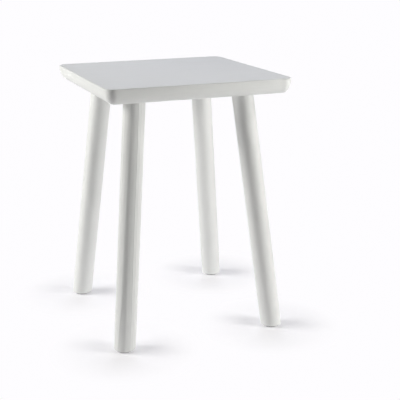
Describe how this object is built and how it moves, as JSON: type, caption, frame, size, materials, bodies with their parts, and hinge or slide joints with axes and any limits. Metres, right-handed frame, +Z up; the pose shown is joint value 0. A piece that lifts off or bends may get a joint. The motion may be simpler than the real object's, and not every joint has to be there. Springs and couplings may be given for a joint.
{
  "type": "wooden stool",
  "caption": "Square painted wooden stool with rounded corners, an undercut seat edge and straight round splayed legs.",
  "frame": {"origin": "on the floor, below the middle of the square seat", "axes": "+Z up; +X to the right along the seat's front edge, which is also the way its grain runs; +Y from the front edge to the back edge"},
  "size_m": [0.325, 0.325, 0.45],
  "materials": {
    "seat_paint": "satin off-white paint over solid wood, faint grain showing through, running left to right",
    "leg_paint": "satin off-white paint over turned solid wood, faint grain showing through lengthwise",
    "bare_wood": "bare wood, planed",
    "glide_plastic": "matt dark grey moulded plastic",
    "nail_steel": "bright steel wire nail"
  },
  "bodies": {
    "root": {"seat_board_front": "seat_paint", "seat_board_front_middle": "seat_paint", "seat_board_middle": "seat_paint", "seat_board_back_middle": "seat_paint", "seat_board_back": "seat_paint", "leg_front_left": "leg_paint", "tenon_wedge_front_left": "bare_wood", "foot_glide_front_left": "glide_plastic", "glide_nail_front_left": "nail_steel", "leg_front_right": "leg_paint", "tenon_wedge_front_right": "bare_wood", "foot_glide_front_right": "glide_plastic", "glide_nail_front_right": "nail_steel", "leg_back_left": "leg_paint", "tenon_wedge_back_left": "bare_wood", "foot_glide_back_left": "glide_plastic", "glide_nail_back_left": "nail_steel", "leg_back_right": "leg_paint", "tenon_wedge_back_right": "bare_wood", "foot_glide_back_right": "glide_plastic", "glide_nail_back_right": "nail_steel"}
  },
  "joints": []
}
